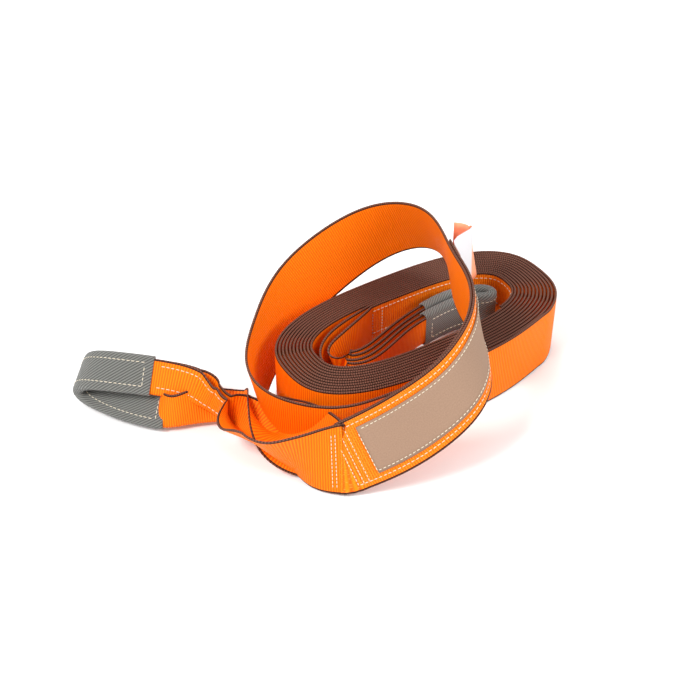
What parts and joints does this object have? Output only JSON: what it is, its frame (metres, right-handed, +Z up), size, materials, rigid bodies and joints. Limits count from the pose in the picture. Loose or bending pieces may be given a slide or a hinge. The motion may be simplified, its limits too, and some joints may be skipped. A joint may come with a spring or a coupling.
{
  "type": "tow strap",
  "caption": "Wide webbing tow strap coiled on its edge, its free end looped over the coil, with a sewn eye and wear sleeve at each end, a bare label patch and a bare tag.",
  "frame": {"origin": "on the floor, under the middle of the strap's bounding box", "axes": "+Z up, +X from the outer eye towards the coil, +Y from the label side towards the back of the coil"},
  "size_m": [0.5234, 0.3158, 0.1774],
  "materials": {
    "webbing": "woven, low sheen",
    "sleeve": "matte woven",
    "label": "matte woven",
    "tag": "smooth satin"
  },
  "bodies": {
    "root": {"webbing": "webbing", "outer_sleeve": "sleeve", "inner_sleeve": "sleeve", "label_patch": "label", "sewn_tag": "tag"}
  },
  "joints": []
}
